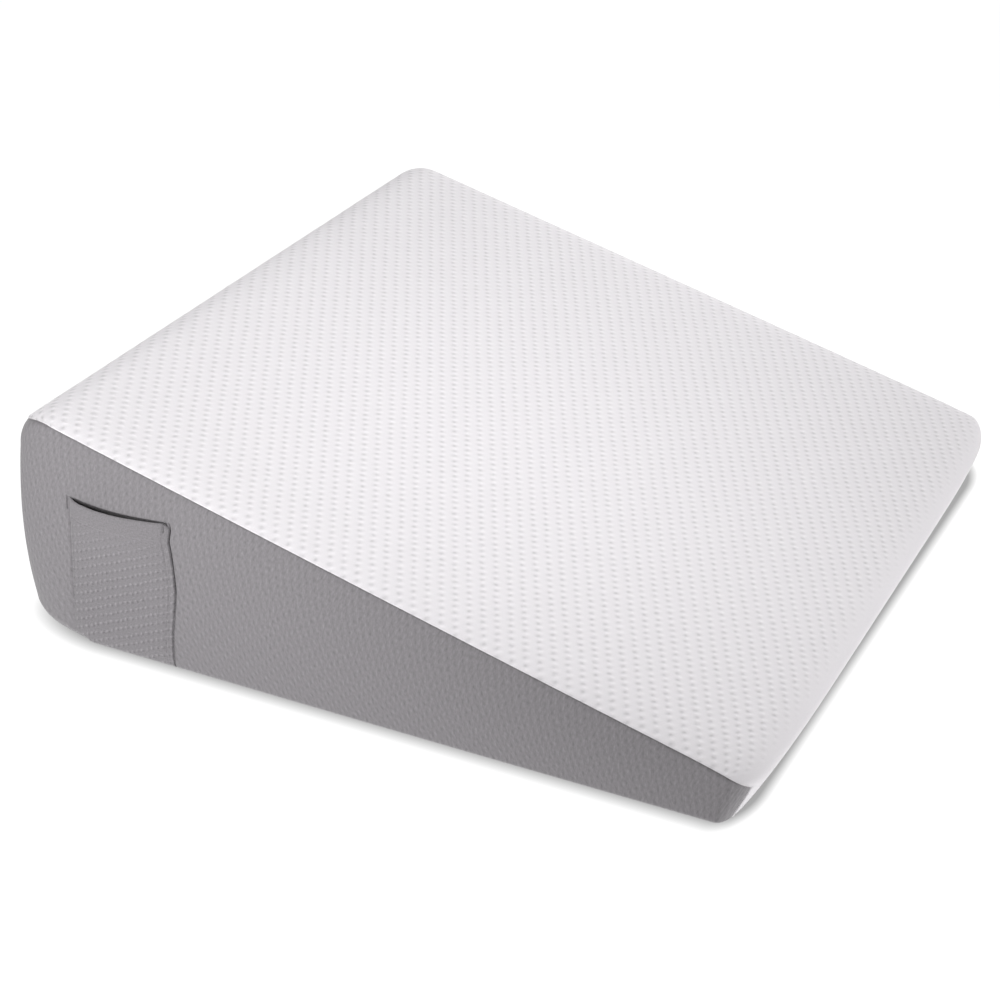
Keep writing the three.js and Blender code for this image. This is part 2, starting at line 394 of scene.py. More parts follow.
def lengths_along(points: np.ndarray, axis: int) -> np.ndarray:
    """Distance run along a grid's lines, measured on its middle line.

    Args:
        points: Grid of points.
        axis: 0 to run along the first index, 1 along the second.

    Returns:
        The distance at each line.
    """
    middle = points.shape[1 - axis] // 2
    line = points[:, middle] if axis == 0 else points[middle]
    steps = np.linalg.norm(np.diff(line, axis=0), axis=1)
    return np.concatenate([[0.0], np.cumsum(steps)])


def cloth_places(points: np.ndarray, face: Face) -> np.ndarray:
    """Places on a face's flat cloth: distance run along its first axis, and its second axis.

    Args:
        points: Grid of the face's points.
        face: The face.

    Returns:
        Two coordinates in metres for each point.
    """
    run = np.broadcast_to(lengths_along(points, 0)[:, None], points.shape[:2])
    return np.stack([run, points[..., face.others[1]]], -1)


def seam_distance(points: np.ndarray, shared: str = "") -> np.ndarray:
    """Distance of each grid point from the nearest seam, measured along the grid's lines.

    Args:
        points: Grid of points, its four edges sewn.
        shared: The edge over which the cloth runs on without a seam, if there is one.

    Returns:
        The distance at each point.
    """
    found = np.full(points.shape[:2], np.inf)
    for axis, name in enumerate(("first", "second")):
        steps = np.linalg.norm(np.diff(points, axis=axis), axis=-1)
        zero = np.zeros_like(np.take(steps, [0], axis=axis))
        forward = np.concatenate([zero, np.cumsum(steps, axis=axis)], axis=axis)
        total = np.take(forward, [-1], axis=axis)
        if shared != f"{name}_low":
            found = np.minimum(found, forward)
        if shared != f"{name}_high":
            found = np.minimum(found, total - forward)
    return found


@dataclass
class Shell:
    """Gathers grids of points into one mesh, with each corner's place on the cloth."""

    points: list[np.ndarray] = field(default_factory=list)
    faces: list[np.ndarray] = field(default_factory=list)
    cloth: list[np.ndarray] = field(default_factory=list)
    count: int = 0

    def add(self, points: np.ndarray, cloth: np.ndarray, flip: bool) -> None:
        """Adds a grid of quads.

        Args:
            points: Grid of points.
            cloth: Place on the cloth of each point.
            flip: Whether the quads turn the other way round.
        """
        rows, columns = points.shape[:2]
        quads = grid_quads(rows, columns) + self.count
        self.faces.append(quads[:, ::-1] if flip else quads)
        self.points.append(points.reshape(-1, 3))
        self.cloth.append(cloth.reshape(-1, 2))
        self.count += rows * columns

    def add_edge(
        self, edge: str, inner: np.ndarray, outer: np.ndarray, cloth: np.ndarray, flip: bool
    ) -> None:
        """Adds a strip that joins one edge of a grid to the same edge of the grid behind it.

        Args:
            edge: Name of the edge.
            inner: Grid behind.
            outer: Grid in front.
            cloth: Place on the cloth of each point.
            flip: Whether the quads of the grid in front turn the other way round.
        """
        place, stack, against = EDGES[edge]
        strip = np.concatenate([inner[place], outer[place]], stack)
        self.add(strip, np.concatenate([cloth[place]] * 2, stack), flip != against)

    def mesh(self, name: str) -> bpy.types.Object:
        """Makes an object of the gathered grids, with points that meet welded together.

        Args:
            name: The piece's name.

        Returns:
            The object, linked to the scene.
        """
        points = np.concatenate(self.points)
        faces = np.concatenate(self.faces)
        cloth = np.concatenate(self.cloth)
        cells = np.round(points / WELD).astype(np.int64)
        _, first, welded = np.unique(cells, axis=0, return_index=True, return_inverse=True)
        corners = welded.reshape(-1)[faces]
        data = bpy.data.meshes.new(name)
        data.from_pydata(points[first].tolist(), [], corners.tolist())
        places = data.uv_layers.new(name="cloth")
        places.data.foreach_set("uv", cloth[faces.reshape(-1)].astype(np.float32).reshape(-1))
        data.shade_smooth()
        data.validate()
        return add_object(name, data)


FLIPPED = {Face.BACK, Face.FAR, Face.BASE}


def sheet_shell(outer: np.ndarray, inner: np.ndarray, cloth: np.ndarray, flip: bool) -> Shell:
    """A closed sheet between an outer and an inner grid.

    Args:
        outer: Grid of the face that shows.
        inner: Grid of the face behind it.
        cloth: Places on the cloth.
        flip: Whether the outer grid's quads turn the other way round.

    Returns:
        The shell with its two faces and its four edges.
    """
    shell = Shell()
    shell.add(outer, cloth, flip)
    shell.add(inner, cloth, not flip)
    for edge in EDGES:
        shell.add_edge(edge, inner, outer, cloth, flip)
    return shell


class NodeBench:
    """Lays out the nodes of one material."""

    def __init__(self, name: str) -> None:
        """Starts a material with an empty tree."""
        self.material = bpy.data.materials.new(name)
        self.material.use_nodes = True
        self.tree = self.material.node_tree
        self.tree.nodes.clear()

    def node(self, kind: str, settings: dict | None = None, **links: object) -> bpy.types.Node:
        """Adds a node with its settings and its inputs.

        Args:
            kind: Blender's name of the node.
            settings: Attributes to set on it.
            links: Input name or number after an underscore, and a socket to link or a value to set.

        Returns:
            The node.
        """
        made = self.tree.nodes.new(kind)
        for name, value in (settings or {}).items():
            setattr(made, name, value)
        for name, value in links.items():
            place = int(name[1:]) if name[1:].isdigit() else name.replace("_", " ")
            socket = made.inputs[place]
            if isinstance(value, bpy.types.NodeSocket):
                self.tree.links.new(value, socket)
            else:
                socket.default_value = value
        return made

    def number(self, operation: str, *inputs: object) -> bpy.types.NodeSocket:
        """Adds a node that works on numbers, and gives its result."""
        links = {f"_{place}": value for place, value in enumerate(inputs)}
        return self.node("ShaderNodeMath", {"operation": operation}, **links).outputs[0]

    def vector(
        self, operation: str, *inputs: object, result: int | str = 0, **named: object
    ) -> bpy.types.NodeSocket:
        """Adds a node that works on vectors, and gives its result."""
        links = {f"_{place}": value for place, value in enumerate(inputs)} | named
        made = self.node("ShaderNodeVectorMath", {"operation": operation}, **links)
        return made.outputs[result]

    def ramp(
        self, value: object, before: tuple[float, float], after: tuple[float, float]
    ) -> bpy.types.NodeSocket:
        """Carries a value from one range over to another, and holds it at the ends."""
        names = ("From_Min", "From_Max", "To_Min", "To_Max")
        ends = dict(zip(names, (*before, *after), strict=True))
        return self.node("ShaderNodeMapRange", {}, Value=value, **ends).outputs[0]

    def noise(
        self, places: object, scale: float, result: int | str = 0, **named: object
    ) -> bpy.types.NodeSocket:
        """Adds soft noise over places."""
        links = {"Detail": 2.0, **named}
        made = self.node("ShaderNodeTexNoise", {}, Vector=places, Scale=scale, **links)
        return made.outputs[result]

    def surface(self, **inputs: object) -> bpy.types.Material:
        """Ends the tree in a surface with these inputs, and gives the material."""
        shader = self.node("ShaderNodeBsdfPrincipled", {}, **inputs).outputs[0]
        self.node("ShaderNodeOutputMaterial", {}, Surface=shader)
        return self.material


@dataclass(frozen=True)
class Knit:
    """A jacquard knit of polyester yarn, its raised pattern set out on a slanted lattice.

    Attributes:
        name: The material's name.
        ground: Colour of the yarn.
        column_step: From one spot to the next in its column, on the cloth, in millimetres.
        row_step: From one column to the next, in millimetres.
        spot: Half length and half width of a spot, in millimetres.
        spot_lean: Angle of a spot's long axis from the cloth's first axis, in degrees.
        loop: Half length and half width of the raised loop beside a spot, in millimetres.
        loop_lean: Angle of a loop's long axis, in degrees.
        loop_at: From a spot's middle to the middle of its loop, in millimetres.
        spot_shade: How much darker the hollow of a spot is painted: painted shade in the hollow.
        loop_light: How much lighter the raised loop is painted: a painted highlight on its top.
        relief: Height of the pattern in millimetres.
        plain_beyond: Where the pattern fades out along the cloth, in millimetres.
        plain_axis: The cloth's axis that it fades along.
        plain_left: How much of the pattern is left there.
        fuzz: How much the yarn's tone varies from stitch to stitch.
        pulled: How fine the stitches are along each of the cloth's axes, 1 for as wide as high.
        stitches: Stitches of the ground to a millimetre: one is about 1.1 mm wide.
        stitch_relief: Height of the ground's stitches, as a share of the pattern's.
        drift: How far the pattern wanders, in millimetres, and how often in a millimetre.
        uneven: How weak and how strong the pattern gets from place to place.
        uneven_scale: How often it does so in a millimetre.
    """

    name: str
    ground: str
    column_step: tuple[float, float]
    row_step: tuple[float, float]
    spot: tuple[float, float]
    spot_lean: float
    loop: tuple[float, float]
    loop_lean: float
    loop_at: tuple[float, float]
    spot_shade: float
    loop_light: float
    relief: float
    plain_beyond: tuple[float, float] = (900.0, 901.0)
    plain_axis: int = 0
    plain_left: float = 0.0
    fuzz: float = 0.035
    pulled: tuple[float, float] = (1.0, 1.0)
    stitches: float = 0.9
    stitch_relief: float = 0.35
    drift: tuple[float, float] = (2.4, 0.12)
    uneven: tuple[float, float] = (0.55, 1.25)
    uneven_scale: float = 0.35

    def bells(
        self,
        bench: NodeBench,
        places: bpy.types.NodeSocket,
        shift: tuple[float, float],
        size: tuple[float, float],
        lean_degrees: float,
    ) -> bpy.types.NodeSocket:
        """A bell over each point of the lattice.

        Args:
            bench: The material's nodes.
            places: Places on the cloth in millimetres.
            shift: From the lattice's points to the middles of the bells.
            size: Half length and half width of a bell.
            lean_degrees: Angle of its long axis.

        Returns:
            The bells' height, from 0 to 1.
        """
        steps = (self.column_step, self.row_step)
        moved = bench.vector("SUBTRACT", places, (*shift, 0.0))
        parts = []
        for step, way in zip(steps, np.linalg.inv(np.array(steps).T), strict=True):
            share = bench.vector("DOT_PRODUCT", moved, (*way, 0.0), result="Value")
            part = bench.number("SUBTRACT", share, bench.number("ROUND", share))
            parts.append(bench.vector("SCALE", (*step, 0.0), Scale=part))
        offset = bench.vector("ADD", *parts)
        lean = math.radians(lean_degrees)
        long, wide = size
        squares = []
        for way in (
            (math.cos(lean) / long, math.sin(lean) / long, 0.0),
            (-math.sin(lean) / wide, math.cos(lean) / wide, 0.0),
        ):
            share = bench.vector("DOT_PRODUCT", offset, way, result="Value")
            squares.append(bench.number("MULTIPLY", share, share))
        fall = bench.number("MULTIPLY", bench.number("ADD", *squares), -1.0)
        return bench.number("EXPONENT", fall)

    def pattern(
        self, bench: NodeBench, flat: bpy.types.NodeSocket
    ) -> tuple[bpy.types.NodeSocket, bpy.types.NodeSocket]:
        """The hollows and the raised loops over the cloth, each from 0 to about 1."""
        # The loops are pulled a little unevenly, so no row of them is quite straight.
        wander, often = self.drift
        noise = bench.noise(flat, often, result="Color")
        centred = bench.vector("SUBTRACT", noise, (0.5, 0.5, 0.5))
        drift = bench.vector("SCALE", centred, Scale=wander)
        places = bench.vector("ADD", flat, drift)
        hollow = self.bells(bench, places, (0.0, 0.0), self.spot, self.spot_lean)
        loop = self.bells(bench, places, self.loop_at, self.loop, self.loop_lean)
        uneven = bench.ramp(bench.noise(flat, self.uneven_scale), NOISE_BODY, self.uneven)
        run = bench.node("ShaderNodeSeparateXYZ", {}, _0=flat).outputs[self.plain_axis]
        kept = bench.ramp(run, self.plain_beyond, (1.0, self.plain_left))
        strength = bench.number("MULTIPLY", uneven, kept)
        return (
            bench.number("MULTIPLY", hollow, strength),
            bench.number("MULTIPLY", loop, strength),
        )

    def material(self) -> bpy.types.Material:
        """Makes the knit's material."""
        bench = NodeBench(self.name)
        cloth = bench.node("ShaderNodeUVMap", {"uv_map": "cloth"}).outputs[0]
        flat = bench.vector("SCALE", cloth, Scale=1 / MM)
        hollow, loop = self.pattern(bench, flat)
        stitches = bench.vector("MULTIPLY", flat, (*self.pulled, 1.0))
        yarn = bench.noise(stitches, self.stitches, Roughness=0.6)
        # The colour is darkened in each hollow and lightened on each loop: painted shade and a
        # painted highlight, on top of the bump's own shading. The grain is the yarn's own uneven
        # tone.
        shade = bench.number("MULTIPLY_ADD", hollow, -self.spot_shade, 1.0)
        light = bench.number("MULTIPLY_ADD", loop, self.loop_light, shade)
        grain = bench.ramp(yarn, NOISE_RANGE, (1 - self.fuzz, 1 + self.fuzz))
        tone = bench.number("MULTIPLY", light, grain)
        height = bench.number("SUBTRACT", loop, hollow)
        fine = bench.number("MULTIPLY_ADD", yarn, self.stitch_relief, height)
        relief = self.relief * MM
        bump = bench.node("ShaderNodeBump", {}, Strength=1.0, Distance=relief, Height=fine)
        # Textured polyester yarn: matt, with the faint bloom of its fibre ends seen along it.
        return bench.surface(
            Base_Color=bench.vector("SCALE", linear(self.ground)[:3], Scale=tone),
            Roughness=0.9,
            IOR=1.5,
            Specular_IOR_Level=0.25,
            Sheen_Weight=0.25,
            Sheen_Roughness=0.5,
            Normal=bump.outputs[0],
        )


@dataclass(frozen=True)
class Thread:
    """Sewing thread."""

    name: str = "polyester_sewing_thread"
    colour: str = "#7f7c7f"
    twist_scale: float = 900.0

    def material(self) -> bpy.types.Material:
        """Makes the thread's material."""
        bench = NodeBench(self.name)
        places = bench.node("ShaderNodeTexCoord").outputs["Object"]
        twist = bench.noise(places, self.twist_scale, Detail=1.0)
        tone = bench.ramp(twist, NOISE_BODY, (0.85, 1.15))
        # Spun polyester, twisted hard: a little glossier than the knit, so stitches stand out.
        return bench.surface(
            Base_Color=bench.vector("SCALE", linear(self.colour)[:3], Scale=tone),
            Roughness=0.55,
            IOR=1.5,
            Sheen_Weight=0.2,
        )


# Bleached polyester jacquard: soft raised loops in slanted rows, each with a hollow beside it. The
# hollows carry painted shade and the loops a painted highlight. The eye sees an even clean white,
# finely dimpled, that goes plain over the front edge.
WHITE_KNIT = Knit(
    name="white_polyester_jacquard_knit",
    ground="#e8e5e8",
    column_step=(2.95, -5.97),
    row_step=(6.6, 8.0),
    spot=(2.1, 1.55),
    spot_lean=49.0,
    loop=(2.4, 1.5),
    loop_lean=33.0,
    loop_at=(-0.6, 3.75),
    spot_shade=0.2,
    loop_light=0.1,
    relief=0.3,
    plain_beyond=(553.0, 569.0),
)

# The same knit dyed grey, stretched upwards: its loops draw out to short dashes and the mixed
# yarn gives a faint upright grain. The eye sees a matt mid grey, quiet next to the white.
GREY_KNIT = Knit(
    name="grey_polyester_jacquard_knit",
    ground="#868386",
    column_step=(1.5, -6.7),
    row_step=(4.8, 3.7),
    spot=(1.9, 0.8),
    spot_lean=-95.0,
    loop=(2.4, 0.8),
    loop_lean=-95.0,
    loop_at=(2.4, 1.8),
    spot_shade=0.13,
    loop_light=0.14,
    relief=0.17,
    fuzz=0.2,
    pulled=(1.0, 0.4),
)

# The pocket's cloth is cut across the knit, so its rows of light dots, lightened by a painted
# highlight, run the other way. They fade under the hem, where the cloth is doubled and pressed.
# Its ground is a little darker than the panels' grey: painted shade over the pocket's face.
POCKET_KNIT = Knit(
    name="grey_polyester_jacquard_knit_on_the_bias",
    ground="#838083",
    column_step=(4.22, 1.88),
    row_step=(0.24, 6.87),
    spot=(1.1, 0.8),
    spot_lean=-134.0,
    loop=(1.2, 0.9),
    loop_lean=-134.0,
    loop_at=(-1.6, 0.3),
    spot_shade=0.24,
    loop_light=0.38,
    relief=0.3,
    plain_beyond=(84.0, 110.0),
    plain_axis=1,
    plain_left=0.15,
    fuzz=0.25,
)


def dress(piece: bpy.types.Object, material: bpy.types.Material) -> None:
    """Gives a piece its material and its body, and logs its faces."""
    piece.data.materials.append(material)
    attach(piece, BODY)
    LOG.info("%s: %d faces", piece.name, len(piece.data.polygons))


@dataclass
class FilledBody:
    """The filled wedge with its white cloth on the slope and the front edge.

    Attributes:
        form: The form under the cloth.
        line: Where the pocket lies.
        sunk: How far the body lies under the form where a panel covers it.
        hollow: How much deeper it lies behind the pocket's open mouth.
        hollow_edge: Distance over which that hollow deepens.
        hollow_above: How far over the mouth it starts.
        ridge: Height of the ridge of cloth beside a seam.
        ridge_at: Its distance from the seam.
        ridge_reach: Half its width.
        tuck: How far the cloth dips into the seam.
    """

    form: WedgeForm
    line: "PocketLine"
    sunk: float = 5.0 * MM
    hollow: float = 5.5 * MM
    hollow_edge: float = 6 * MM
    hollow_above: float = 9 * MM
    ridge: float = 0.45 * MM
    ridge_at: float = 1.5 * MM
    ridge_reach: float = 1.1 * MM
    tuck: float = 0.5 * MM

    def build(self) -> bpy.types.Object:
        """Makes the closed body: white faces at full size, the rest sunk under the panels."""
        shell = Shell()
        for face in Face:
            grid = self.form.grid(face)
            white = face in (Face.TOP, Face.FRONT)
            cloth = grid.cloth
            if face is Face.FRONT:
                run = self.front_run(grid, self.form.grid(Face.TOP))
                cloth = np.stack([run, grid.points[..., 1]], -1)
            height = self.white_height(face, grid) if white else self.sunk_height(face, grid)
            raised = grid.points + grid.outward * height[..., None]
            shell.add(raised, cloth, face in FLIPPED)
            if white:
                self.add_ledges(shell, face, grid, raised)
        return shell.mesh("white_body")

    def front_run(self, front: Grid, top: Grid) -> np.ndarray:
        """Distance run along the cloth from the tall end, over the slope and down the front."""
        down = lengths_along(front.points, 1)
        reached = top.cloth[-1, 0, 0]
        return reached + np.broadcast_to((down[-1] - down)[None, :], front.points.shape[:2])

    def white_height(self, face: Face, grid: Grid) -> np.ndarray:
        """Height of the white cloth over the form: a small ridge and a tuck at the grey seams."""
        distance = seam_distance(grid.points, shared_edge(face))
        ridge = self.ridge * hump(distance - self.ridge_at, self.ridge_reach)
        return ridge - self.tuck * hump(distance, self.ridge_reach / 2)

    def sunk_height(self, face: Face, grid: Grid) -> np.ndarray:
        """Height of the body under the panels, with the hollow behind the pocket's mouth."""
        height = np.full(grid.seam_distance.shape, -self.sunk)
        if face is Face.NEAR:
            x, z = (grid.points - self.form.origin)[..., (0, 2)].transpose(2, 0, 1)
            line, edge = self.line, self.hollow_edge
            across = smooth((x - line.left) / edge) * smooth((line.right_at(z) - x) / edge)
            above = z - line.mouth_at(x)
            height = height - self.hollow * across * smooth((self.hollow_above - above) / edge)
        return height

    def add_ledges(self, shell: Shell, face: Face, grid: Grid, raised: np.ndarray) -> None:
        """Joins a white face's seams to the sunk faces beside them."""
        lowered = grid.points - grid.outward * self.sunk
        for edge in EDGES:
            if edge != shared_edge(face):
                shell.add_edge(edge, lowered, raised, grid.cloth, face in FLIPPED)


def shared_edge(face: Face) -> str:
    """The edge that the two white faces share, where the cloth runs on without a seam."""
    return "first_high" if face is Face.TOP else "second_high"


@dataclass
class PocketLine:
    """Where the patch pocket meets the side panel, on the side panel's own x and z.

    Attributes:
        left: Its edge by the tall end.
        heights: Heights on its free edge, in millimetres.
        places: Where the free edge lies at each, in millimetres: the seam wanders a little.
        lines: Number of places that the free edge is eased over, and how many at a time.
        mouth: Height of the mouth at its corners.
        hem: Depth of the hem at the mouth.
        sag: How far the middle of the mouth hangs below its corners.
        sag_lean: How the sag leans to the held edge, 1 for evenly.
    """

    left: float = 50.4 * MM
    heights: tuple[float, ...] = (
        *(0.0, 5.0, 13.0, 22.0, 35.0, 52.0, 68.0, 80.0),
        *(92.0, 101.0, 106.5, 109.5, 115.0, 118.5, 120.0),
    )
    places: tuple[float, ...] = (
        *(133.1, 132.9, 132.3, 132.2, 132.5, 134.5, 136.0, 135.0),
        *(133.5, 132.1, 130.8, 131.2, 132.0, 131.6, 130.9),
    )
    lines: tuple[int, int] = (489, 9)
    mouth: float = 119.9 * MM
    hem: float = 14.0 * MM
    sag: float = 2.2 * MM
    sag_lean: float = 0.8

    def right_at(self, z: np.ndarray) -> np.ndarray:
        """Place of the free edge at a height."""
        count, width = self.lines
        fine = np.linspace(self.heights[0], self.heights[-1], count)
        raw = np.interp(fine, self.heights, self.places)
        padded = np.pad(raw, width // 2, mode="edge")
        eased = np.convolve(padded, np.ones(width) / width, mode="valid")
        return np.interp(z / MM, fine, eased) * MM

    def across(self, x: np.ndarray) -> np.ndarray:
        """Share of the way over the mouth from its held end to its free one."""
        right = self.right_at(np.array(self.mouth))
        return np.clip((x - self.left) / (right - self.left), 0, 1)

    def mouth_at(self, x: np.ndarray) -> np.ndarray:
        """Height of the mouth at a place along the side."""
        return self.mouth - self.sag * np.sin(math.pi * self.across(x) ** self.sag_lean)


@dataclass
class SideCloth:
    """The side panel's cloth round the pocket: what the pocket's seams and mouth press into it.

    Attributes:
        line: Where the pocket lies.
        free_crease: Depth, half width and place of the crease along the pocket's free edge.
        held_crease: Depth, half width and place of the crease along its held edge.
        crease_top: How far over the mouth the creases end, and over what distance.
        lip: How far the cloth over the mouth stands out, and how far up.
        bow: How evenly the lip stands out across the mouth.
        slit: How far the cloth dips behind the mouth, where that starts, and over what distance.
        slit_ends: Distances over which the lip and the dip fade, at the held and the free edge.
    """

    line: PocketLine = field(default_factory=PocketLine)
    free_crease: tuple[float, float, float] = (3.6 * MM, 0.32 * MM, 0.2 * MM)
    held_crease: tuple[float, float, float] = (2.0 * MM, 0.7 * MM, 0.0)
    crease_top: tuple[float, float] = (1.0 * MM, 1.6 * MM)
    lip: tuple[float, float] = (2.9 * MM, 17.0 * MM)
    bow: float = 0.7
    slit: tuple[float, float, float] = (8.0 * MM, 1.7 * MM, 3.0 * MM)
    slit_ends: tuple[float, float] = (5 * MM, 4 * MM)

    def relief(self, points: np.ndarray) -> np.ndarray:
        """Height of the cloth over its smooth form.

        Args:
            points: Points of the panel on its own x and z, with any y between.

        Returns:
            The height at each point, negative where the cloth is pressed in.
        """
        x, z = points[..., 0], points[..., 2]
        line, right = self.line, self.line.right_at(z)
        over, fade = self.crease_top
        inside = smooth((line.mouth + over - z) / fade)
        pressed = ((right, self.free_crease), (line.left, self.held_crease))
        creases = sum(
            depth * hump(x - edge - offset, reach) for edge, (depth, reach, offset) in pressed
        )
        bow = np.sin(math.pi * line.across(x)) ** self.bow
        above = z - line.mouth_at(x)
        lip, lip_reach = self.lip
        slit, start, ease = self.slit
        stand = lip * np.where(above > 0, hump(above, lip_reach), 1.0)
        dip = (slit + lip) * smooth((start - above) / ease)
        held_end, free_end = self.slit_ends
        across = smooth((x - line.left) / held_end) * smooth((right - x) / free_end)
        return (stand - dip) * bow * across - creases * inside


@dataclass
class Panel:
    """A grey panel sewn along its edges and drawn smooth over its face."""

    form: WedgeForm
    face: Face
    node: str
    flat: tuple[float, float]
    area: float
    cloth: float = 2.2 * MM
    edge_tuck: float = 0.9 * MM
    edge_reach: float = 1.6 * MM

    def rows(self) -> tuple[Rows, Rows, Rows] | None:
        """The panel's own rows, or None where the form's serve."""
        return None

    def relief(self, grid: Grid) -> np.ndarray:
        """Height of the cloth over the form, with its edges tucked into the seams."""
        return -self.edge_tuck * hump(grid.seam_distance, self.edge_reach)

    def build(self) -> bpy.types.Object:
        """Makes the panel as a closed sheet."""
        grid = self.form.grid(self.face, self.rows())
        height = self.relief(grid)
        outer = grid.points + grid.outward * height[..., None]
        inner = grid.points + grid.outward * (height[..., None] - self.cloth)
        flip = self.face in FLIPPED
        return sheet_shell(outer, inner, grid.cloth, flip).mesh(f"grey_{self.node}")

    def declare(self, piece: bpy.types.Object) -> None:
        """Hides the solid that the panel stands for."""
        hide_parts(self.node)


@dataclass
class PocketSide(Panel):
    """The side panel under the pocket, with finer rows where the pocket presses into it."""

    side: SideCloth = field(default_factory=SideCloth)

    def rows(self) -> tuple[Rows, Rows, Rows]:
        """Rows that are close together round the pocket."""
        along = bands((0, 0.05, 26), (0.05, 0.145, 34), (0.145, 0.222, 190), (0.222, 1, 70))
        up = bands((0, 0.66, 34), (0.66, 0.9, 64), (0.9, 1, 7))
        return (
            Rows.spaced(BACK_ROWS, along, FRONT_ROWS),
            self.form.rows[1],
            Rows.spaced(LEVEL_ROWS, up, LEVEL_ROWS),
        )

    def relief(self, grid: Grid) -> np.ndarray:
        """Height of the cloth over the form, with the pocket's creases and lip."""
        return super().relief(grid) + self.side.relief(grid.points - self.form.origin)


@dataclass
class Wall:
    """Finds the side panel's smooth form under a place on its x and z."""

    form: WedgeForm

    def __post_init__(self) -> None:
        """Makes the tree of the smooth form's faces."""
        points = self.form.grid(Face.NEAR).points - self.form.origin
        quads = grid_quads(*points.shape[:2])
        self.tree = BVHTree.FromPolygons(points.reshape(-1, 3).tolist(), quads.tolist())

    def points(self, x: np.ndarray, z: np.ndarray) -> np.ndarray:
        """Points of the smooth form under each place."""
        found = np.empty(x.shape + (3,))
        for place in np.ndindex(x.shape):
            found[place] = self.tree.ray_cast(Vector((x[place], -1.0, z[place])), INWARDS)[0]
        return found

    def foot(self, x: np.ndarray) -> np.ndarray:
        """Height of the base seam at each place along the side."""
        base = self.form.grid(Face.NEAR).points[:, 0] - self.form.origin
        return np.interp(x, base[:, 0], base[:, 2])


